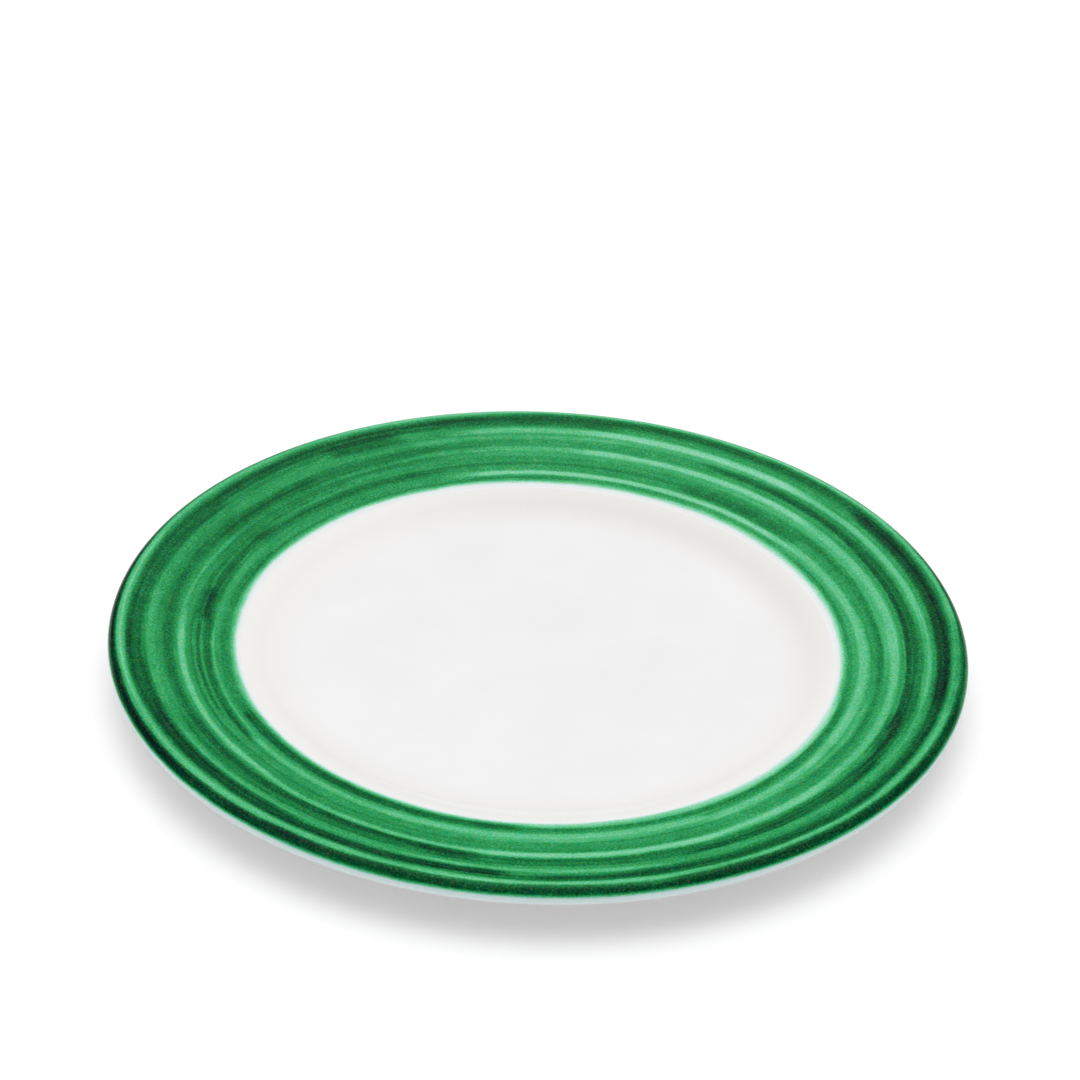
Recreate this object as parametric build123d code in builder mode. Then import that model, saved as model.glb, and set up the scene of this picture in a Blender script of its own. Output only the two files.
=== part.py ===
"""A glazed earthenware dinner plate with a hand-banded rim.

The plate is a fired clay body under a skin of glaze. The glaze is laid on in four
areas that meet edge to edge: the well, the banded rim, the back, and the recess
inside the foot. Only the standing face of the foot is bare clay.

Frame: origin on the standing surface at the plate's centre, +Z up, axis of turning on Z.
Every section is drawn in the radius-height plane and turned once about Z.
"""

from build123d import *
import math
import os

os.makedirs("parts", exist_ok=True)

# Overall size, millimetres
plate_diameter = 270.0  # across the outermost point of the lip
plate_height = 18.5  # standing face to the crest of the lip

# Lip and rim
lip_radius = 3.4  # the lip is a half round of this radius
groove_width = 4.2  # crest of the lip to the shallow groove inside it
groove_depth = 0.95  # crest of the lip down to that groove
groove_blend_radius = 12.0
rim_thickness = 5.5  # rim at its inner edge, measured straight down

# Well
well_diameter = 191.0  # inner edge of the rim, where the wall of the well starts
well_depth = 4.7  # inner edge of the rim down to the floor of the well
wall_angle = 20.0  # steepest slope of the wall, degrees from level
shoulder_radius = 45.0  # rounding from the rim into the wall
cove_radius = 38.0  # rounding from the wall into the floor
base_thickness = 5.0  # floor of the well to the ceiling of the foot recess

# Foot ring
foot_inset = 11.5  # inner edge of the rim to the outer edge of the standing face
foot_face_width = 3.0
foot_height = 2.7  # standing face to the ceiling of the recess
foot_draft = 20.0  # lean of both sides of the ring, degrees from upright
foot_edge_radius = 0.8
foot_root_radius = 3.5
recess_corner_radius = 2.0
back_shoulder_radius = 30.0

# Glaze
glaze_thickness = 0.4
bare_height = 1.2  # glaze stops this far above the standing face
paint_margin = 2.5  # banded glaze runs on past the inner edge of the rim by this much
paint_edge_angle = -12.0  # where it stops round the lip, degrees above level

# Levels and radii that follow from the sizes above
plate_radius = plate_diameter / 2
well_radius = well_diameter / 2
floor_level = foot_height + base_thickness
rim_inner_level = floor_level + well_depth
lip_centre = Vector(plate_radius - lip_radius, plate_height - lip_radius)
groove = Vector(lip_centre.X - groove_width, plate_height - groove_depth)
rim_inner = Vector(well_radius, rim_inner_level)
paint_inner_radius = well_radius - paint_margin

# Sections reach this far past the axis before they are trimmed to it
axis_overlap = 10.0
# Trimming shapes reach this far outside the plate
outside = 5.0

wall_slope = math.tan(math.radians(wall_angle))
draft_slope = math.tan(math.radians(foot_draft))


def fitted_radius(wanted, first, second, turn):
    """The wanted fillet radius, or less where the shorter of two straight runs needs it."""
    shorter = min(first, second)
    return min(wanted, 0.95 * shorter / math.tan(math.radians(turn) / 2))


def lip_tangent_angle(point, side):
    """Angle round the lip, in degrees, where a line from the point touches it."""
    reach = point - lip_centre
    bearing = math.degrees(math.atan2(reach.Y, reach.X)) % 360
    return bearing - side * math.degrees(math.acos(lip_radius / reach.length))


def on_lip(angle):
    """The point on the lip's round at an angle in degrees above level."""
    turned = math.radians(angle)
    return lip_centre + Vector(math.cos(turned), math.sin(turned)) * lip_radius


# Upper side: the rounding of the shoulder starts exactly at the inner edge of the rim
rim_run = (groove - rim_inner).normalized()
rim_angle = math.degrees(math.atan2(rim_run.Y, rim_run.X))
shoulder_turn = wall_angle - rim_angle
shoulder_tangent = shoulder_radius * math.tan(math.radians(shoulder_turn) / 2)
shoulder = rim_inner - rim_run * shoulder_tangent
wall_foot = Vector(shoulder.X - (shoulder.Y - floor_level) / wall_slope, floor_level)
wall_left = (shoulder - wall_foot).length - shoulder_tangent
cove_fit = fitted_radius(cove_radius, wall_left, wall_foot.X, wall_angle)

# Underside: a level thickness below the shoulder, parallel to the wall, down to the foot
foot_radius = well_radius - foot_inset
back_shoulder = Vector(shoulder.X + rim_thickness * wall_slope / 2, shoulder.Y - rim_thickness)
foot_root_rise = back_shoulder.Y - wall_slope * (back_shoulder.X - foot_radius)
foot_root_level = foot_root_rise / (1 - wall_slope * draft_slope)
foot_root = Vector(foot_radius + foot_root_level * draft_slope, foot_root_level)
foot_outer = Vector(foot_radius, 0)
foot_inner = Vector(foot_radius - foot_face_width, 0)
recess_corner = Vector(foot_inner.X - foot_height * draft_slope, foot_height)

back_run = (back_shoulder - foot_root).length
back_turn = wall_angle - math.degrees(
    math.atan2(lip_centre.Y - lip_radius - back_shoulder.Y, lip_centre.X - back_shoulder.X)
)
back_shoulder_fit = fitted_radius(back_shoulder_radius, back_run / 2, back_run, back_turn)
foot_root_turn = 90 - foot_draft - wall_angle
foot_root_fit = fitted_radius(foot_root_radius, back_run / 2, foot_root_level / 2, foot_root_turn)

crest_angle = lip_tangent_angle(groove, 1)
under_angle = lip_tangent_angle(back_shoulder, -1) - 360

# The finished plate's section, glaze included
with BuildSketch() as finished:
    with BuildLine():
        FilletPolyline(
            (-axis_overlap, floor_level),
            wall_foot,
            shoulder,
            groove,
            on_lip(crest_angle),
            radius=[cove_fit, shoulder_radius, groove_blend_radius],
        )
        CenterArc(lip_centre, lip_radius, crest_angle, under_angle - crest_angle)
        FilletPolyline(
            on_lip(under_angle),
            back_shoulder,
            foot_root,
            foot_outer,
            foot_inner,
            recess_corner,
            (-axis_overlap, foot_height),
            radius=[
                back_shoulder_fit,
                foot_root_fit,
                foot_edge_radius,
                foot_edge_radius,
                recess_corner_radius,
            ],
        )
        Line((-axis_overlap, foot_height), (-axis_overlap, floor_level))
    make_face()

# Everything outside the axis, and the strip of the foot that stays bare
with BuildSketch() as right_of_axis:
    Rectangle(plate_radius + outside, plate_height + outside, align=(Align.MIN, Align.MIN))

with BuildSketch() as bare_strip:
    Rectangle(plate_radius, bare_height, align=(Align.MIN, Align.MIN))

# The clay's section: a glaze thickness inside the finished one, and all of the bare foot
with BuildSketch() as clay_section:
    add(finished.sketch)
    offset(amount=-glaze_thickness, kind=Kind.INTERSECTION)
    with BuildSketch(mode=Mode.PRIVATE) as bare_foot:
        add(finished.sketch)
        add(bare_strip.sketch, mode=Mode.INTERSECT)
    add(bare_foot.sketch)
    add(right_of_axis.sketch, mode=Mode.INTERSECT)

# The glaze areas part along lines that start inside the clay
mid_foot = foot_radius - foot_face_width / 2
mid_base = floor_level - base_thickness / 2
core_centre = (0, mid_base)
core_foot = (mid_foot, mid_base)
core_rim = (paint_inner_radius, rim_inner_level - rim_thickness / 2)
core_lip = (lip_centre.X, lip_centre.Y)
above = plate_height + outside
below = -outside
beyond = plate_radius + outside
paint_edge_slope = math.tan(math.radians(paint_edge_angle))
beyond_paint_edge = (beyond, lip_centre.Y + (beyond - lip_centre.X) * paint_edge_slope)

well_area = [core_centre, core_foot, core_rim, (paint_inner_radius, above), (0, above)]
rim_area = [core_rim, core_lip, beyond_paint_edge, (beyond, above), (paint_inner_radius, above)]
back_area = [core_foot, (mid_foot, below), (beyond, below), beyond_paint_edge, core_lip, core_rim]
recess_area = [core_centre, (0, below), (mid_foot, below), core_foot]


def glaze_section(area):
    """The part of the glaze skin that lies inside an area of the section plane."""
    with BuildSketch() as skin:
        add(finished.sketch)
        add(clay_section.sketch, mode=Mode.SUBTRACT)
        with BuildSketch(mode=Mode.PRIVATE) as zone:
            with BuildLine():
                Polyline(*area, close=True)
            make_face()
        add(zone.sketch, mode=Mode.INTERSECT)
    return skin.sketch


# Fired clay: floor, wall, rim, lip and foot ring in one turned piece
with BuildPart() as clay_body:
    with BuildSketch(Plane.XZ):
        add(clay_section.sketch)
    revolve(axis=Axis.Z)
clay_body.part.label = "clay_body"
export_step(clay_body.part, "parts/clay_body.step")

# White glaze over the floor and wall of the well
with BuildPart() as well_glaze:
    with BuildSketch(Plane.XZ):
        add(glaze_section(well_area))
    revolve(axis=Axis.Z)
well_glaze.part.label = "well_glaze"
export_step(well_glaze.part, "parts/well_glaze.step")

# Coloured glaze over the rim and the upper half of the lip
with BuildPart() as rim_band_glaze:
    with BuildSketch(Plane.XZ):
        add(glaze_section(rim_area))
    revolve(axis=Axis.Z)
rim_band_glaze.part.label = "rim_band_glaze"
export_step(rim_band_glaze.part, "parts/rim_band_glaze.step")

# White glaze from the lower half of the lip, under the rim, to the foot ring's outer side
with BuildPart() as back_glaze:
    with BuildSketch(Plane.XZ):
        add(glaze_section(back_area))
    revolve(axis=Axis.Z)
back_glaze.part.label = "back_glaze"
export_step(back_glaze.part, "parts/back_glaze.step")

# White glaze inside the foot ring
with BuildPart() as foot_recess_glaze:
    with BuildSketch(Plane.XZ):
        add(glaze_section(recess_area))
    revolve(axis=Axis.Z)
foot_recess_glaze.part.label = "foot_recess_glaze"
export_step(foot_recess_glaze.part, "parts/foot_recess_glaze.step")
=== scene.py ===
import math
from collections import namedtuple

import bpy
import numpy as np
from mathutils import Matrix, Vector


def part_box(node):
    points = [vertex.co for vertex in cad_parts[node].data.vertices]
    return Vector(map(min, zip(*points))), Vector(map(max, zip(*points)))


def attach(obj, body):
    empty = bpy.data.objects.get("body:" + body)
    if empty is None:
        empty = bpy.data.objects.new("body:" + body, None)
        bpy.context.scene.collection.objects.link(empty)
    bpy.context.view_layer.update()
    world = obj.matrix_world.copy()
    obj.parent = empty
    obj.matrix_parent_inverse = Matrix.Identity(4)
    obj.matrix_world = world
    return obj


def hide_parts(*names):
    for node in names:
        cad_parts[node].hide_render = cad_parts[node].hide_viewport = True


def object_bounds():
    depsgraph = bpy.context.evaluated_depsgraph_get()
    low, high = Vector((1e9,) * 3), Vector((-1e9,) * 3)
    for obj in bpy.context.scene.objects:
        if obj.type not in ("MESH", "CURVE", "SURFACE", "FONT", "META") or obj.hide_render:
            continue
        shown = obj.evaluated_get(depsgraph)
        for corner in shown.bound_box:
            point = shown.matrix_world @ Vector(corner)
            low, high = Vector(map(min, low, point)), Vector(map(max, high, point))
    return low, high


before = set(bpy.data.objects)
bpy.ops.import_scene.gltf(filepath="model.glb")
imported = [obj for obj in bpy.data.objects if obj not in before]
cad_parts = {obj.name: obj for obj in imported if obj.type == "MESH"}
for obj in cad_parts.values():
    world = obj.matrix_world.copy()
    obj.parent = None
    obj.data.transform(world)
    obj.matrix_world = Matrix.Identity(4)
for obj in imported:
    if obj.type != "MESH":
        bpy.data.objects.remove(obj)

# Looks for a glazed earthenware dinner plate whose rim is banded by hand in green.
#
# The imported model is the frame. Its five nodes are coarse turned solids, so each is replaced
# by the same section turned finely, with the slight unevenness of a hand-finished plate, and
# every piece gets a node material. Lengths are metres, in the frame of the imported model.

MM = 0.001

# ---------------------------------------------------------------- sizes from the frame

cad_low, cad_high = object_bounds()
well_low, well_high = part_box("well_glaze")
recess_low, recess_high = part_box("foot_recess_glaze")

# Sizes that a box doesn't show; the CAD solids have the same ones
GLAZE = 0.4 * MM
LIP_RADIUS = 3.4 * MM
GROOVE_WIDTH = 4.2 * MM
GROOVE_DEPTH = 0.95 * MM
GROOVE_BLEND = 12.0 * MM
RIM_THICKNESS = 5.5 * MM
PAINT_MARGIN = 2.5 * MM
WELL_DEPTH = 4.7 * MM
WALL_ANGLE = math.radians(20.0)
SHOULDER_RADIUS = 45.0 * MM
COVE_RADIUS = 38.0 * MM
BACK_SHOULDER_RADIUS = 30.0 * MM
FOOT_INSET = 11.5 * MM
FOOT_FACE = 3.0 * MM
FOOT_DRAFT = math.radians(20.0)
FOOT_EDGE_RADIUS = 0.8 * MM
FOOT_ROOT_RADIUS = 3.5 * MM
RECESS_CORNER_RADIUS = 2.0 * MM
PAINT_EDGE_ANGLE = math.radians(-12.0)

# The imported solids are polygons, a little narrower along one axis, and the plate keeps inside
plate_radius = min(cad_high.x, cad_high.y)
plate_height = cad_high.z
floor_level = well_low.z + GLAZE
paint_inner = well_high.x
rim_inner = Vector((paint_inner + PAINT_MARGIN, floor_level + WELL_DEPTH))
lip_centre = Vector((plate_radius - LIP_RADIUS, plate_height - LIP_RADIUS))
groove = Vector((lip_centre.x - GROOVE_WIDTH, plate_height - GROOVE_DEPTH))
foot_height = recess_high.z - GLAZE
bare_height = recess_low.z
foot_outer = rim_inner.x - FOOT_INSET

# ---------------------------------------------------------------- the turned section


def rounded_path(corners, radii, run_step, arc_step):
    """Points along straight runs through the corners, with an arc at each inner corner."""
    points = [corners[0]]
    for before, corner, after, radius in zip(corners, corners[1:], corners[2:], radii):
        inward = (before - corner).normalized()
        outward = (after - corner).normalized()
        half = inward.angle(outward) / 2
        reach = radius / math.tan(half)
        start = corner + inward * reach
        centre = corner + (inward + outward).normalized() * (radius / math.sin(half))
        points += run(points[-1], start, run_step)
        first = math.atan2(start.y - centre.y, start.x - centre.x)
        end = corner + outward * reach
        last = math.atan2(end.y - centre.y, end.x - centre.x)
        turn = (last - first + math.pi) % (2 * math.pi) - math.pi
        points += arc(centre, radius, first, turn, arc_step)
    points += run(points[-1], corners[-1], run_step)
    return points


def run(start, end, step):
    """Evenly spaced points after the start, up to the end."""
    count = max(1, math.ceil((end - start).length / step))
    return [start.lerp(end, i / count) for i in range(1, count + 1)]


def arc(centre, radius, first, turn, step):
    """Evenly spaced points on an arc after its first angle."""
    count = max(3, math.ceil(abs(turn) * radius / step))
    angles = [first + turn * i / count for i in range(1, count + 1)]
    return [centre + Vector((math.cos(a), math.sin(a))) * radius for a in angles]


def touch_angle(point, side):
    """Angle round the lip where a line from the point touches it."""
    away = point - lip_centre
    return math.atan2(away.y, away.x) - side * math.acos(LIP_RADIUS / away.length)


def on_lip(angle):
    """The point on the lip's round at an angle above level."""
    return lip_centre + Vector((math.cos(angle), math.sin(angle))) * LIP_RADIUS


rim_run = (groove - rim_inner).normalized()
rim_angle = math.atan2(rim_run.y, rim_run.x)
shoulder = rim_inner - rim_run * SHOULDER_RADIUS * math.tan((WALL_ANGLE - rim_angle) / 2)
wall_slope = math.tan(WALL_ANGLE)
draft_slope = math.tan(FOOT_DRAFT)
wall_foot = Vector((shoulder.x - (shoulder.y - floor_level) / wall_slope, floor_level))
back_shoulder = shoulder + Vector((RIM_THICKNESS * wall_slope / 2, -RIM_THICKNESS))
root_rise = back_shoulder.y - wall_slope * (back_shoulder.x - foot_outer)
root_level = root_rise / (1 - wall_slope * draft_slope)
foot_root = Vector((foot_outer + root_level * draft_slope, root_level))
foot_inner = foot_outer - FOOT_FACE
recess_corner = Vector((foot_inner - foot_height * draft_slope, foot_height))
crest_angle = touch_angle(groove, 1)
under_angle = touch_angle(back_shoulder, -1)

# How closely the outline's points lie
RIM_STEP = 0.5 * MM
LIP_STEP = 0.22 * MM
FLOOR_STEP = 3.0 * MM
BACK_STEP = 1.6 * MM
FOOT_STEP = 0.35 * MM
FLOOR_MARGIN = 8.0 * MM  # the floor's wide steps stop this far inside the foot of the wall


def upper_section():
    """From the axis over the floor, wall and rim to the crest of the lip."""
    floor = [Vector((0, floor_level))]
    floor += run(floor[0], Vector((wall_foot.x - FLOOR_MARGIN, floor_level)), FLOOR_STEP)
    corners = [floor[-1], wall_foot, shoulder, groove, on_lip(crest_angle)]
    radii = [COVE_RADIUS, SHOULDER_RADIUS, GROOVE_BLEND]
    return floor[:-1] + rounded_path(corners, radii, RIM_STEP, RIM_STEP)


def lip_section():
    """Round the lip from its crest to the underside."""
    return arc(lip_centre, LIP_RADIUS, crest_angle, under_angle - crest_angle, LIP_STEP)


def under_section():
    """From the lip under the rim, round the foot ring and back to the axis."""
    corners = [
        on_lip(under_angle),
        back_shoulder,
        foot_root,
        Vector((foot_outer, 0)),
        Vector((foot_inner, 0)),
        recess_corner,
        Vector((0, foot_height)),
    ]
    radii = [
        BACK_SHOULDER_RADIUS,
        FOOT_ROOT_RADIUS,
        FOOT_EDGE_RADIUS,
        FOOT_EDGE_RADIUS,
        RECESS_CORNER_RADIUS,
    ]
    return rounded_path(corners, radii, BACK_STEP, FOOT_STEP)[1:]


outline = np.array([tuple(p) for p in upper_section() + lip_section() + under_section()])


def outward_normals(path):
    """Unit normals of the outline, pointing out of the plate."""
    ahead = np.gradient(path, axis=0)
    normals = np.stack([-ahead[:, 1], ahead[:, 0]], axis=1)
    return normals / np.linalg.norm(normals, axis=1, keepdims=True)


clay_face = outline - outward_normals(outline) * GLAZE
clay_face[0, 0] = 0
clay_face[-1, 0] = 0

# Where along the outline one glaze area ends and the next begins
lip_bearing = np.arctan2(outline[:, 1] - lip_centre.y, outline[:, 0] - lip_centre.x)
upper_side = np.arange(len(outline)) < len(upper_section())
paint_start = int(np.argmin(np.where(upper_side, abs(outline[:, 0] - paint_inner), np.inf)))
on_round = outline[:, 0] > lip_centre.x
paint_end = int(np.argmin(np.where(on_round, abs(lip_bearing - PAINT_EDGE_ANGLE), np.inf)))
on_foot = ~upper_side & (outline[:, 0] < foot_root.x) & (outline[:, 1] < bare_height)
bare_start = int(np.argmax(on_foot))
bare_end = len(outline) - 1 - int(np.argmax(on_foot[::-1]))

# ---------------------------------------------------------------- turning

COLUMNS = 640
ON_AXIS = 1e-9  # a smaller radius than this is the axis

# How far the rim of a hand-finished plate departs from true
WARP = 0.10 * MM
SAG = 0.40 * MM
SAG_AZIMUTH = math.radians(120)  # the back left
RIPPLE = 0.03 * MM
RIPPLE_LENGTH = 2.3 * MM  # the radius in which a ripple turns by one radian
STIFF_MARGIN = 6.0 * MM  # the plate is true up to this far outside the foot


def smoothstep(low, high, value):
    """A smooth rise from 0 to 1 between two values."""
    share = np.clip((value - low) / (high - low), 0, 1)
    return share * share * (3 - 2 * share)


def unevenness(radius, angle):
    """How far a point of the plate sinks: the rim's warp and sag, and the wheel's ripples."""
    on_rim = smoothstep(foot_outer + STIFF_MARGIN, plate_radius, radius)
    warp = 0.5 - 0.3 * np.cos(2 * angle + 0.7) - 0.2 * np.cos(3 * angle - 1.1)
    sag = (0.5 + 0.5 * np.cos(angle - SAG_AZIMUTH)) ** 3
    ripple = 0.5 + 0.5 * np.sin(radius / RIPPLE_LENGTH + 0.8 * np.sin(angle + 0.4))
    near_lip = smoothstep(plate_radius - 2 * LIP_RADIUS, plate_radius - LIP_RADIUS, radius)
    return on_rim * (WARP * warp + SAG * sag + RIPPLE * ripple * (1 - near_lip))


def turn(name, section, slot, node, material):
    """A closed solid turned about Z from a closed section, which stands for a CAD node."""
    angles = np.arange(COLUMNS) * 2 * math.pi / COLUMNS
    vertices = []
    rings = []
    for radius, height in section:
        if radius < ON_AXIS:
            rings.append([len(vertices)] * COLUMNS)
            vertices.append((0.0, 0.0, height))
            continue
        rings.append(list(range(len(vertices), len(vertices) + COLUMNS)))
        sunk = height - unevenness(radius, angles)
        vertices += zip(radius * np.cos(angles), radius * np.sin(angles), sunk)
    faces = []
    on_axis = section[:, 0] < ON_AXIS
    for i in range(len(section)):
        j = (i + 1) % len(section)
        if on_axis[i] and on_axis[j]:
            continue
        for k in range(COLUMNS):
            m = (k + 1) % COLUMNS
            corners = (rings[i][k], rings[j][k], rings[j][m], rings[i][m])
            faces.append(tuple(dict.fromkeys(corners)))
    mesh = bpy.data.meshes.new(name)
    mesh.from_pydata(vertices, [], faces)
    mesh.shade_smooth()
    mesh.set_sharp_from_angle(angle=math.radians(40))
    piece = bpy.data.objects.new(name, mesh)
    bpy.context.scene.collection.objects.link(piece)
    mesh.materials.append(material)
    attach(piece, "root")
    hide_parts(node)


def thinned(path, every):
    """Every second, third or so point of a path, and its last one."""
    keep = list(range(0, len(path), every))
    if keep[-1] != len(path) - 1:
        keep.append(len(path) - 1)
    return path[keep]


def skin(start, end, every=1):
    """A closed section between the outline and the clay, from one outline point to another."""
    outer = outline[start : end + 1]
    inner = clay_face[start : end + 1]
    return np.vstack([outer, thinned(inner, every)[::-1]])


# ---------------------------------------------------------------- node materials


def linear(red, green, blue):
    """A colour given in 0-255 display values, as the linear colour that a shader takes."""
    shares = [value / 255 for value in (red, green, blue)]
    lit = [v / 12.92 if v <= 0.04045 else ((v + 0.055) / 1.055) ** 2.4 for v in shares]
    return (*lit, 1.0)


def grey(value):
    """A linear grey, as the colour that a shader takes."""
    return (value, value, value, 1.0)


class Graph:
    """A node tree, with one short call for each kind of node that the plate needs."""

    def __init__(self, tree):
        self.tree = tree
        tree.nodes.clear()

    def link(self, socket, target):
        self.tree.links.new(socket, target)

    def node(self, kind, inputs=(), **settings):
        """A new node; inputs maps a socket's name or number to a value or another socket."""
        made = self.tree.nodes.new(kind)
        for key, value in settings.items():
            setattr(made, key, value)
        for key, value in dict(inputs).items():
            if isinstance(value, bpy.types.NodeSocket):
                self.link(value, made.inputs[key])
            else:
                made.inputs[key].default_value = value
        return made

    def math(self, operation, *values):
        return self.node("ShaderNodeMath", enumerate(values), operation=operation).outputs[0]

    def vector(self, x, y, z):
        return self.node("ShaderNodeCombineXYZ", {0: x, 1: y, 2: z}).outputs[0]

    def noise(self, where, scale, detail, roughness):
        """Noise from about -1 to 1."""
        inputs = {"Vector": where, "Scale": scale, "Detail": detail, "Roughness": roughness}
        made = self.node("ShaderNodeTexNoise", inputs)
        return self.math("MULTIPLY_ADD", made.outputs["Fac"], 4.0, -2.0)

    def ease(self, value, low, high, to_low=0.0, to_high=1.0):
        """A smooth step between two values, which may fall instead of rise."""
        inputs = {0: value, 1: low, 2: high, 3: to_low, 4: to_high}
        made = self.node("ShaderNodeMapRange", inputs, interpolation_type="SMOOTHSTEP")
        return made.outputs[0]

    def mix(self, share, first, second, blend="MIX"):
        """Two colours mixed, or blended in another of the Mix node's ways."""
        inputs = {0: share, 6: first, 7: second}
        made = self.node("ShaderNodeMix", inputs, data_type="RGBA", blend_type=blend)
        return made.outputs[2]

    def bump(self, height, distance, strength):
        inputs = {"Height": height, "Distance": distance, "Strength": strength}
        return self.node("ShaderNodeBump", inputs).outputs["Normal"]


def new_material(name):
    """A node material that holds only a shader, with its Graph and that shader."""
    material = bpy.data.materials.new(name)
    material.use_nodes = True
    graph = Graph(material.node_tree)
    shader = graph.node("ShaderNodeBsdfPrincipled")
    output = graph.node("ShaderNodeOutputMaterial")
    graph.link(shader.outputs[0], output.inputs["Surface"])
    return material, graph, shader


Spot = namedtuple("Spot", "where height radius cosine sine")


def spot_on_plate(graph):
    """Object position, height and radius in mm, and the cosine and sine of the azimuth."""
    where = graph.node("ShaderNodeTexCoord").outputs["Object"]
    parts = graph.node("ShaderNodeSeparateXYZ", {0: where}).outputs
    squares = graph.math("MULTIPLY", parts[1], parts[1])
    squares = graph.math("MULTIPLY_ADD", parts[0], parts[0], squares)
    radius = graph.math("SQRT", squares)
    return Spot(
        where=where,
        height=graph.math("DIVIDE", parts[2], MM),
        radius=graph.math("DIVIDE", radius, MM),
        cosine=graph.math("DIVIDE", parts[0], radius),
        sine=graph.math("DIVIDE", parts[1], radius),
    )


# Optical depth of the first even coat of green glaze
BASE_DEPTH = 3.25

# Full rings over that coat: distance outwards along the glaze from the rim's inner edge and half
# the ring's width, in mm, and the optical depth that it adds or wipes off
RINGS = [
    (33.4, 1.1, 1.3),
    (36.5, 1.2, -1.1),
    (39.6, 1.9, 2.9),
]

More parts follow.
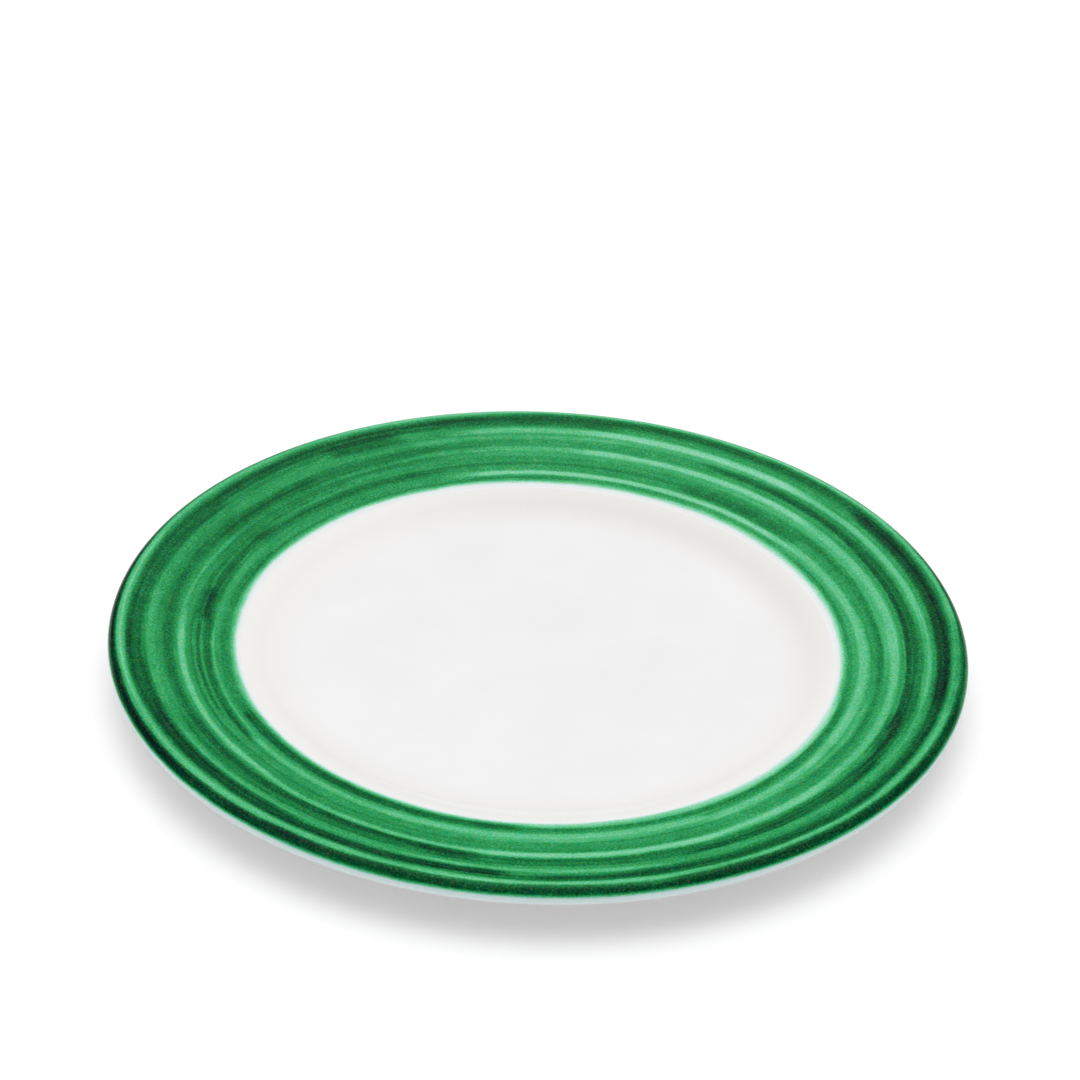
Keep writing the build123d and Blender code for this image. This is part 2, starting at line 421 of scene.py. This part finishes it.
# Strokes laid over the rings on the turning plate. Each one has the azimuths where it starts and
# ends, in degrees from +X towards +Y, its distance outwards at each and half its width, in mm,
# the optical depth that it adds or wipes off, and how softly its ends fade, in degrees.
STROKES = [
    # the first course, just outside the well
    (207, 268, 3.5, 3.5, 1.6, 1.8, 3),
    (268, 302, 4.0, 4.2, 1.1, 0.6, 6),
    (302, 345, 4.6, 3.4, 1.3, 0.7, 6),
    (345, 30, 2.8, 2.4, 1.0, 0.4, 10),
    (352, 36, 4.2, 4.0, 0.8, -0.5, 8),
    (150, 207, 3.0, 3.6, 1.4, 0.5, 6),
    (88, 165, 1.6, 1.6, 1.2, 0.7, 12),
    (206, 268, 1.2, 1.2, 1.2, 0.9, 8),
    (268, 302, 1.4, 1.8, 1.2, -1.1, 8),
    (302, 345, 1.4, 0.8, 1.3, -1.5, 10),
    (12, 68, 0.6, 0.6, 1.1, -0.7, 10),
    # the light course next to it
    (328, 12, 7.2, 6.8, 1.9, -1.4, 10),
    (12, 40, 6.6, 5.6, 1.5, -1.4, 8),
    (40, 106, 4.8, 4.9, 1.2, -1.9, 10),
    (150, 181, 6.0, 6.5, 1.1, -0.3, 8),
    (181, 215, 6.9, 7.0, 0.5, -0.8, 5),
    (215, 246, 8.1, 8.0, 1.6, -1.0, 4),
    (246, 300, 8.0, 8.0, 1.9, -1.4, 4),
    (300, 328, 9.4, 7.6, 1.7, -1.4, 6),
    # the middle of the rim
    (316, 348, 13.2, 12.7, 1.0, 0.8, 8),
    (350, 38, 12.0, 11.6, 1.2, 0.7, 8),
    (38, 64, 8.8, 9.0, 2.2, 1.1, 5),
    (64, 110, 9.8, 9.6, 0.8, 0.8, 8),
    (110, 150, 9.0, 9.4, 1.2, 0.9, 10),
    (110, 154, 7.4, 7.8, 1.4, 0.8, 8),
    (148, 178, 10.2, 10.0, 1.2, 1.9, 5),
    (158, 180, 8.2, 8.2, 1.2, 0.9, 6),
    (169, 178, 10.6, 10.8, 2.0, 1.2, 3),
    (178, 214, 8.8, 9.2, 1.3, 1.3, 3),
    (178, 206, 11.5, 12.0, 0.6, 1.5, 5),
    (128, 178, 12.8, 13.2, 1.2, 0.9, 10),
    (176, 214, 13.6, 14.2, 0.5, 0.7, 8),
    (205, 226, 9.6, 9.6, 0.9, 0.7, 6),
    (284, 301, 12.2, 12.0, 0.8, 0.4, 4),
    (108, 160, 14.6, 15.0, 1.2, 0.7, 12),
    (212, 262, 13.8, 14.2, 0.8, 0.4, 8),
    (225, 300, 16.2, 16.8, 1.0, 0.3, 12),
    (356, 60, 14.5, 14.7, 1.3, -0.8, 10),
    (60, 100, 14.8, 15.0, 1.2, -0.5, 10),
    (258, 292, 10.7, 10.8, 1.1, -0.8, 8),
    (296, 345, 11.2, 10.2, 0.9, -0.7, 8),
    # the light course across the middle
    (350, 40, 16.8, 17.0, 1.6, -1.4, 10),
    (40, 84, 17.3, 17.3, 1.5, -1.9, 8),
    (84, 114, 17.4, 17.6, 1.3, -1.0, 8),
    (132, 154, 17.2, 17.4, 1.3, 0.5, 6),
    (152, 178, 16.6, 17.4, 0.6, -0.8, 8),
    (178, 228, 16.8, 17.4, 1.2, -1.5, 8),
    (228, 262, 18.2, 19.4, 1.1, -1.2, 8),
    (262, 300, 19.4, 19.8, 1.6, -1.8, 8),
    (300, 322, 19.1, 18.5, 1.8, -1.6, 8),
    (322, 350, 17.8, 17.0, 1.5, -1.2, 8),
    # the dark course outside it
    (340, 30, 21.4, 21.4, 1.0, 2.3, 8),
    (330, 30, 23.6, 23.4, 1.1, 1.5, 8),
    (326, 352, 22.8, 22.6, 0.8, 1.2, 5),
    (324, 350, 25.3, 25.2, 0.7, 0.8, 8),
    (30, 62, 22.4, 22.8, 1.5, 1.9, 7),
    (100, 156, 18.6, 19.0, 1.8, 0.9, 10),
    (110, 134, 21.0, 21.2, 1.5, 0.8, 8),
    (132, 206, 20.8, 21.4, 1.9, 1.2, 5),
    (148, 180, 24.0, 24.2, 1.2, 0.5, 6),
    (206, 262, 21.2, 22.2, 2.0, 1.9, 5),
    (226, 258, 21.2, 21.8, 1.5, 0.6, 6),
    (206, 262, 24.4, 25.0, 1.0, 0.9, 6),
    (254, 296, 22.9, 23.1, 1.2, 1.3, 6),
    (256, 298, 25.2, 25.4, 1.0, 1.0, 6),
    (294, 330, 25.2, 25.4, 1.4, 1.9, 6),
    (305, 326, 23.0, 22.8, 1.1, 0.6, 4),
    (332, 342, 20.4, 20.6, 1.6, 1.2, 4),
    (298, 342, 23.3, 23.5, 1.3, 1.1, 6),
    (312, 342, 21.7, 21.8, 1.0, 0.7, 5),
    (340, 6, 25.9, 25.8, 1.5, 0.8, 8),
    # the second light course
    (345, 46, 26.9, 26.9, 1.3, -1.4, 8),
    (46, 84, 27.3, 27.4, 1.8, -2.0, 8),
    (84, 104, 27.1, 26.8, 1.5, -1.3, 8),
    (56, 84, 24.6, 24.4, 1.0, -0.7, 8),
    (80, 112, 23.4, 23.4, 1.2, -0.7, 8),
    (210, 262, 27.3, 28.3, 0.8, -0.5, 8),
    (255, 288, 28.8, 29.2, 1.2, -1.0, 8),
    (298, 345, 28.8, 27.8, 0.7, -0.4, 8),
    (114, 126, 28.0, 28.4, 3.2, 1.5, 4),
    (126, 170, 28.2, 28.4, 0.9, 0.6, 8),
    (172, 202, 26.6, 26.8, 1.2, -0.6, 8),
    (190, 236, 29.2, 29.5, 1.2, 1.3, 6),
    # the dark course that pools in the groove
    (347, 37, 31.9, 32.0, 1.9, 2.8, 4),
    (346, 12, 30.6, 30.6, 1.6, 0.6, 8),
    (37, 82, 32.4, 32.4, 1.2, 0.6, 8),
    (80, 147, 31.4, 31.6, 1.9, 1.5, 6),
    (147, 204, 30.6, 31.4, 2.4, 1.6, 4),
    (204, 267, 31.3, 31.8, 1.8, 2.5, 4),
    (188, 208, 30.8, 31.0, 1.3, 0.5, 6),
    (271, 348, 33.0, 32.6, 1.7, 1.4, 6),
    (284, 348, 31.4, 31.2, 1.1, 0.8, 8),
    (262, 322, 35.3, 35.1, 0.8, 1.4, 8),
    (0, 94, 34.8, 34.9, 1.0, 0.9, 8),
    (30, 122, 36.6, 36.4, 1.4, -0.5, 12),
    (344, 6, 36.8, 36.8, 1.0, 1.1, 6),
    (190, 216, 37.2, 37.2, 0.8, 0.8, 8),
    (164, 218, 38.8, 38.9, 1.3, 1.3, 8),
    (256, 290, 38.1, 38.1, 1.1, -1.3, 8),
    # thin glaze on the crest of the lip
    (160, 199, 35.4, 35.3, 1.0, -0.7, 4),
    (199, 246, 34.8, 34.8, 1.0, -0.8, 6),
    (192, 244, 38.2, 38.2, 0.9, 0.8, 8),
    (346, 10, 39.8, 39.8, 1.3, -1.8, 6),
]


# A stroke or a ring fades out between these shares of its half width
FADED_OUT = 1.45
FULL = 0.35


def stroke_group():
    """A node group that adds one brush stroke to a running depth of glaze."""
    tree = bpy.data.node_groups.new("brush_stroke", "ShaderNodeTree")
    names = ("Depth", "Course", "Azimuth", "Centre", "Half turn", "Middle", "Drift")
    names += ("Half width", "Laid", "Softness")
    for name in names:
        tree.interface.new_socket(name, in_out="INPUT", socket_type="NodeSocketFloat")
    tree.interface.new_socket("Depth", in_out="OUTPUT", socket_type="NodeSocketFloat")
    graph = Graph(tree)
    given = graph.node("NodeGroupInput").outputs
    away = graph.math("SUBTRACT", given["Azimuth"], given["Centre"])
    away = graph.math("WRAP", away, math.pi, -math.pi)
    middle = graph.math("MULTIPLY_ADD", away, given["Drift"], given["Middle"])
    across = graph.math("ABSOLUTE", graph.math("SUBTRACT", given["Course"], middle))
    across = graph.ease(graph.math("DIVIDE", across, given["Half width"]), FADED_OUT, FULL)
    left = graph.math("SUBTRACT", given["Half turn"], graph.math("ABSOLUTE", away))
    along = graph.ease(graph.math("DIVIDE", left, given["Softness"]), -0.5, 0.5)
    share = graph.math("MULTIPLY", across, along)
    total = graph.math("MULTIPLY_ADD", share, given["Laid"], given["Depth"])
    graph.node("NodeGroupOutput", {0: total})
    return tree


def painted_depth(graph, depth, course, azimuth):
    """The running depth of glaze after every stroke."""
    group = stroke_group()
    for start, end, at_start, at_end, half_width, laid, soft in STROKES:
        span = (end - start) % 360
        inputs = {
            "Depth": depth,
            "Course": course,
            "Azimuth": azimuth,
            "Centre": math.radians(start + span / 2),
            "Half turn": math.radians(span / 2),
            "Middle": (at_start + at_end) / 2,
            "Drift": (at_end - at_start) / math.radians(span),
            "Half width": half_width,
            "Laid": laid,
            "Softness": math.radians(soft),
        }
        depth = graph.node("ShaderNodeGroup", inputs, node_tree=group).outputs[0]
    return depth


def ring(graph, depth, course, middle, half_width, laid):
    """Glaze laid or wiped off in a full ring."""
    across = graph.math("ABSOLUTE", graph.math("SUBTRACT", course, middle))
    share = graph.ease(across, half_width * FADED_OUT, half_width * FULL)
    return graph.math("MULTIPLY_ADD", share, laid, depth)


WHITE_GLAZE = linear(239, 238, 238)
LIP_GREEN_AND_PAINTED_LIGHT = linear(231, 249, 248)  # the white at the paint's outer edge, tinted faintly green, and painted lighter than the white glaze as painted light on the shaded lip

OFF_CENTRE = 0.5  # mm from the plate's centre to the rings', towards the back
# Distances outwards, in mm, over which the paint and its bleed come in at the rim's inner edge,
# the paint ends on the lip, and the white beneath it turns greenish and is painted lighter,
# painted light on the shaded lip
PAINT_COMES_IN = (-1.4, 2.7)
BLEED_COMES_IN = (-2.4, -1.0)
PAINT_ENDS = (42.0, 39.8)
LIP_TINT_AND_PAINTED_LIGHT = (38.5, 40.5)


def distance_outwards(graph, spot):
    """Distance outwards along the glaze from the rim's inner edge, in mm, over rim and lip."""
    along_rim = (on_lip(crest_angle) - rim_inner).length / MM
    flat = graph.math("SUBTRACT", spot.radius, rim_inner.x / MM)
    flat = graph.math("DIVIDE", flat, math.cos(rim_angle))
    over = graph.math("SUBTRACT", spot.radius, lip_centre.x / MM)
    up = graph.math("SUBTRACT", spot.height, lip_centre.y / MM)
    bearing = graph.math("ARCTAN2", up, over)
    round_lip = graph.math("SUBTRACT", crest_angle, bearing)
    round_lip = graph.math("MULTIPLY_ADD", round_lip, LIP_RADIUS / MM, along_rim)
    past_crest = graph.math("GREATER_THAN", spot.radius, on_lip(crest_angle).x / MM)
    further = graph.math("SUBTRACT", round_lip, flat)
    return graph.math("MULTIPLY_ADD", further, past_crest, flat)


def green_glaze():
    """Green glaze brushed over white: its colour comes from its depth, as with a stained glass."""
    material, graph, shader = new_material("green_brushed_glaze")
    spot = spot_on_plate(graph)

    def streaks(turns, fineness, detail, roughness):
        """Noise drawn out along the brush's path."""
        place = graph.vector(
            graph.math("MULTIPLY", spot.cosine, turns),
            graph.math("MULTIPLY", spot.sine, turns),
            graph.math("MULTIPLY", course, fineness),
        )
        return graph.noise(place, 1.0, detail, roughness)

    # The paint's edge on the lip keeps to the plate; the rings waver and lie off centre
    course = distance_outwards(graph, spot)
    wander = streaks(2.5, 0.12, 2.0, 0.5)
    ragged = streaks(14.0, 0.9, 3.0, 0.6)
    lip_course = graph.math("MULTIPLY_ADD", ragged, 0.12, course)
    course = graph.math("MULTIPLY_ADD", spot.sine, -OFF_CENTRE, course)
    course = graph.math("MULTIPLY_ADD", wander, 0.3, course)
    course = graph.math("MULTIPLY_ADD", ragged, 0.22, course)
    azimuth = graph.math("ARCTAN2", spot.sine, spot.cosine)
    azimuth = graph.math("MULTIPLY_ADD", streaks(3.0, 1.6, 3.0, 0.6), 0.035, azimuth)

    depth = BASE_DEPTH
    for middle, half_width, laid in RINGS:
        depth = ring(graph, depth, course, middle, half_width, laid)
    depth = painted_depth(graph, depth, course, azimuth)

    # Bristle lines, cloudier patches, and the grain of the stain
    bristle = streaks(4.0, 2.4, 4.0, 0.65)
    broad = streaks(2.2, 0.55, 3.0, 0.6)
    cloud = graph.noise(spot.where, 140.0, 3.0, 0.55)
    grain = graph.noise(spot.where, 1500.0, 3.0, 0.7)
    uneven = graph.math("MULTIPLY_ADD", bristle, 0.10, 1.0)
    uneven = graph.math("MULTIPLY_ADD", broad, 0.10, uneven)
    uneven = graph.math("MULTIPLY_ADD", cloud, 0.08, uneven)
    uneven = graph.math("MULTIPLY_ADD", grain, 0.34, uneven)
    depth = graph.math("MULTIPLY", depth, uneven)

    # It thins out to nothing at both edges of the paint
    bleed = graph.ease(lip_course, *BLEED_COMES_IN, 0.0, 0.045)
    inner_edge = graph.math("MAXIMUM", graph.ease(course, *PAINT_COMES_IN), bleed)
    outer_edge = graph.ease(lip_course, *PAINT_ENDS, 0.008)
    depth = graph.math("MULTIPLY", depth, inner_edge)
    depth = graph.math("MULTIPLY", depth, outer_edge)
    depth = graph.math("MAXIMUM", depth, 0.0)

    # What each depth lets through: most of the green, less of the blue, least of the red
    green_depth = graph.math("MULTIPLY_ADD", depth, 0.036, 0.2)
    green_depth = graph.math("MULTIPLY", depth, green_depth)
    rust = graph.math("MULTIPLY_ADD", graph.noise(spot.where, 1300.0, 2.0, 0.7), 0.45, 1.17)
    red_depth = graph.math("MULTIPLY", depth, rust)
    full = graph.math("DIVIDE", depth, graph.math("ADD", depth, 0.1))
    red_depth = graph.math("MULTIPLY", red_depth, full)
    blue_depth = graph.math("MULTIPLY_ADD", depth, -0.045, 0.93)
    blue_depth = graph.math("MULTIPLY", blue_depth, depth)
    thin = graph.math("DIVIDE", depth, graph.math("ADD", depth, 0.45))
    blue_depth = graph.math("MULTIPLY", blue_depth, thin)
    warmth = graph.math("MULTIPLY_ADD", graph.noise(spot.where, 500.0, 4.0, 0.7), 0.16, 1.0)
    warmth = graph.math("MULTIPLY_ADD", streaks(3.0, 1.3, 2.0, 0.5), 0.06, warmth)
    blue_depth = graph.math("MULTIPLY", blue_depth, warmth)
    depths = (red_depth, green_depth, blue_depth)
    shares = [graph.math("EXPONENT", graph.math("MULTIPLY", one, -1.0)) for one in depths]
    passed = graph.node("ShaderNodeCombineColor", enumerate(shares)).outputs[0]
    # Under the paint's outer edge the white turns greenish and lighter; the lightness is painted
    # light on the shaded lip
    below = graph.mix(graph.ease(lip_course, *LIP_TINT_AND_PAINTED_LIGHT), WHITE_GLAZE, LIP_GREEN_AND_PAINTED_LIGHT)
    colour = graph.mix(1.0, passed, below, "MULTIPLY")

    # Olive specks where the stain is thick
    speck = graph.ease(graph.noise(spot.where, 900.0, 3.0, 0.7), 0.3, 1.0)
    speck = graph.math("MULTIPLY", speck, graph.ease(depth, 3.0, 5.5))
    speck = graph.math("MULTIPLY", speck, 0.6)
    colour = graph.mix(speck, colour, linear(104, 94, 64))
    graph.link(colour, shader.inputs["Base Color"])

    # The relief is faint, and reflections are weak, so that the white tent doesn't veil the green
    ripple = graph.noise(spot.where, 70.0, 2.0, 0.5)
    relief = graph.math("MULTIPLY_ADD", bristle, 0.25, ripple)
    graph.link(graph.bump(relief, 0.02 * MM, 0.5), shader.inputs["Normal"])
    rough = graph.math("MULTIPLY_ADD", cloud, 0.02, 0.16)
    graph.link(rough, shader.inputs["Roughness"])
    shader.inputs["Specular IOR Level"].default_value = 0.04
    return material


# Where the white changes, in mm: on the lip, by radius and by height, where green and painted
# light come in, and on the wall of the well, by radius as its painted shade comes in and as it
# goes out
LIP_RADII = (131.0, 133.0)
LIP_HEIGHTS = (11.5, 14.2)
WALL_SHADE_COMES_IN = (76.0, 86.0)
WALL_SHADE_GOES_OUT = (98.0, 90.0)
# The painted shade on the wall of the well is deepest at this azimuth
PAINTED_SHADE_AZIMUTH = math.radians(50)  # the back right


def white_glaze():
    """Thick white glaze with a faint orange-peel surface and a few pinholes."""
    material, graph, shader = new_material("white_tin_glaze")
    spot = spot_on_plate(graph)
    cloud = graph.noise(spot.where, 45.0, 3.0, 0.55)
    colour = graph.mix(graph.ease(cloud, -0.9, 0.9), WHITE_GLAZE, linear(237, 236, 236))

    # Green bleeds under the lip, and the white there is painted lighter: painted light on the
    # lip's shaded underside
    near_lip = graph.ease(spot.radius, *LIP_RADII)
    bleed = graph.math("MULTIPLY", near_lip, graph.ease(spot.height, *LIP_HEIGHTS))
    colour = graph.mix(bleed, colour, LIP_GREEN_AND_PAINTED_LIGHT)

    # Painted shade on the wall of the well: a warm grey at the back right, and opposite a white a
    # little lighter than the floor's, painted light
    wall_shade_mask = graph.ease(spot.radius, *WALL_SHADE_COMES_IN)
    wall_shade_mask = graph.math("MULTIPLY", wall_shade_mask, graph.ease(spot.radius, *WALL_SHADE_GOES_OUT))
    above_floor = graph.math("GREATER_THAN", spot.height, floor_level / MM)
    wall_shade_mask = graph.math("MULTIPLY", wall_shade_mask, above_floor)
    facing = graph.math("MULTIPLY", spot.cosine, math.cos(PAINTED_SHADE_AZIMUTH))
    facing = graph.math("MULTIPLY_ADD", spot.sine, math.sin(PAINTED_SHADE_AZIMUTH), facing)
    facing = graph.ease(facing, 0.0, 1.0)
    painted_wall_shade = graph.mix(facing, linear(241, 240, 238), linear(232, 231, 228))
    colour = graph.mix(wall_shade_mask, colour, painted_wall_shade)

    pits = graph.node("ShaderNodeTexVoronoi", {"Vector": spot.where, "Scale": 95.0}).outputs[0]
    pinhole = graph.ease(pits, 0.035, 0.015)
    colour = graph.mix(graph.math("MULTIPLY", pinhole, 0.25), colour, linear(190, 184, 172))
    graph.link(colour, shader.inputs["Base Color"])

    peel = graph.noise(spot.where, 260.0, 2.0, 0.5)
    swell = graph.noise(spot.where, 40.0, 2.0, 0.5)
    relief = graph.math("MULTIPLY_ADD", swell, 3.0, peel)
    relief = graph.math("MULTIPLY_ADD", pinhole, -2.0, relief)
    graph.link(graph.bump(relief, 0.012 * MM, 0.6), shader.inputs["Normal"])
    rough = graph.math("MULTIPLY_ADD", cloud, 0.02, 0.14)
    graph.link(rough, shader.inputs["Roughness"])
    shader.inputs["Specular IOR Level"].default_value = 0.12
    return material


def bare_clay():
    """Fired earthenware on the standing face: cream, sandy and matt, rubbed darker by use."""
    material, graph, shader = new_material("bare_fired_clay")
    spot = spot_on_plate(graph)
    sand = graph.noise(spot.where, 1300.0, 4.0, 0.65)
    patch = graph.noise(spot.where, 90.0, 3.0, 0.5)
    colour = graph.mix(graph.ease(sand, -1.0, 1.0), linear(214, 196, 170), linear(232, 219, 198))
    rubbed = graph.ease(spot.height, 0.35, 0.0)
    rubbed = graph.math("MULTIPLY", rubbed, graph.ease(patch, -0.6, 0.8))
    colour = graph.mix(graph.math("MULTIPLY", rubbed, 0.6), colour, linear(176, 158, 134))
    graph.link(colour, shader.inputs["Base Color"])
    graph.link(graph.bump(sand, 0.06 * MM, 0.7), shader.inputs["Normal"])
    rough = graph.math("MULTIPLY_ADD", sand, 0.05, 0.85)
    graph.link(rough, shader.inputs["Roughness"])
    return material


# ---------------------------------------------------------------- the pieces

white = white_glaze()
green = green_glaze()
clay = bare_clay()

# Points that the glaze covers are thinned out, which keeps each piece under 200,000 triangles
last = len(outline) - 1
turn("glazed_well", skin(0, paint_start), "white_glaze", "well_glaze", white)
turn("banded_rim", skin(paint_start, paint_end, 3), "green_glaze", "rim_band_glaze", green)
turn("glazed_back", skin(paint_end, bare_start, 2), "white_glaze", "back_glaze", white)
turn("glazed_recess", skin(bare_end, last), "white_glaze", "foot_recess_glaze", white)

bare_foot = outline[bare_start : bare_end + 1]
clay_outline = np.vstack(
    [thinned(clay_face[: bare_start + 1], 3), bare_foot, thinned(clay_face[bare_end:], 3)]
)
turn("turned_clay", clay_outline, "fired_clay", "clay_body", clay)

# ---------------------------------------------------------------- floor, light and camera


FLOOR_REACH = 6.0
FLOOR_GLOW = 0.228


def make_floor():
    """A plain pale table top, faintly lit from below, which keeps the shadow light."""
    mesh = bpy.data.meshes.new("studio_floor")
    signs = [(-1, -1), (1, -1), (1, 1), (-1, 1)]
    corners = [(x * FLOOR_REACH, y * FLOOR_REACH, 0) for x, y in signs]
    mesh.from_pydata(corners, [], [(0, 1, 2, 3)])
    floor = bpy.data.objects.new("studio_floor", mesh)
    bpy.context.scene.collection.objects.link(floor)
    material, graph, shader = new_material("pale_table_top")
    fibre = graph.noise(graph.node("ShaderNodeTexCoord").outputs["Object"], 30.0, 3.0, 0.5)
    colour = graph.mix(graph.ease(fibre, -1.0, 1.0), grey(0.755), grey(0.765))
    graph.link(colour, shader.inputs["Base Color"])
    shader.inputs["Roughness"].default_value = 0.9
    shader.inputs["Specular IOR Level"].default_value = 0.0
    shader.inputs["Emission Color"].default_value = grey(1.0)
    shader.inputs["Emission Strength"].default_value = FLOOR_GLOW
    mesh.materials.append(material)


# The tent's brightness overhead and how fast it falls towards the horizon, and a soft key light
TENT_GLOW = 0.9
TENT_FALL = 3.57
KEY_GLOW = 2.3
KEY_FOCUS = 5.0
KEY_DIRECTION = Vector((-0.03, 0.20, 1.0)).normalized()


def make_sky():
    """Soft light from a wide tent overhead, dim near the horizon."""
    world = bpy.data.worlds.new("light_tent")
    world.use_nodes = True
    graph = Graph(world.node_tree)
    direction = graph.node("ShaderNodeTexCoord").outputs["Generated"]
    parts = graph.node("ShaderNodeSeparateXYZ", {0: direction}).outputs
    up = graph.math("MAXIMUM", parts[2], 0.0)
    tent = graph.math("MULTIPLY", graph.math("POWER", up, TENT_FALL), TENT_GLOW)
    towards = {0: direction, 1: KEY_DIRECTION}
    facing = graph.node("ShaderNodeVectorMath", towards, operation="DOT_PRODUCT")
    spread = graph.math("MULTIPLY_ADD", facing.outputs["Value"], KEY_FOCUS, -KEY_FOCUS)
    key = graph.math("EXPONENT", spread)
    glow = graph.math("MULTIPLY_ADD", key, KEY_GLOW, tent)
    background = graph.node("ShaderNodeBackground", {"Color": grey(1.0), "Strength": glow})
    graph.node("ShaderNodeOutputWorld", {"Surface": background.outputs[0]})
    bpy.context.scene.world = world


CAMERA_DISTANCE = 1.30
CAMERA_ELEVATION = math.radians(33.92)
CAMERA_ROLL = math.radians(2.51)
CAMERA_LENS = 137.9
CAMERA_AIM = Vector((-1.0 * MM, 50.8 * MM, plate_height))


def make_camera():
    """A long lens from the front, above the rim, aimed behind the plate's centre."""
    data = bpy.data.cameras.new("portrait_camera")
    camera = bpy.data.objects.new("portrait_camera", data)
    bpy.context.scene.collection.objects.link(camera)
    data.lens = CAMERA_LENS
    data.sensor_width = 36.0
    data.clip_start = 0.05
    data.clip_end = 50.0
    back = Vector((0, -math.cos(CAMERA_ELEVATION), math.sin(CAMERA_ELEVATION)))
    place = Vector((0, 0, plate_height)) + back * CAMERA_DISTANCE
    facing = (CAMERA_AIM - place).to_track_quat("-Z", "Y").to_matrix()
    turned = facing @ Matrix.Rotation(CAMERA_ROLL, 3, "Z")
    camera.matrix_world = Matrix.Translation(place) @ turned.to_4x4()
    bpy.context.scene.camera = camera


make_floor()
make_sky()
make_camera()
bpy.context.scene.view_settings.view_transform = "Standard"
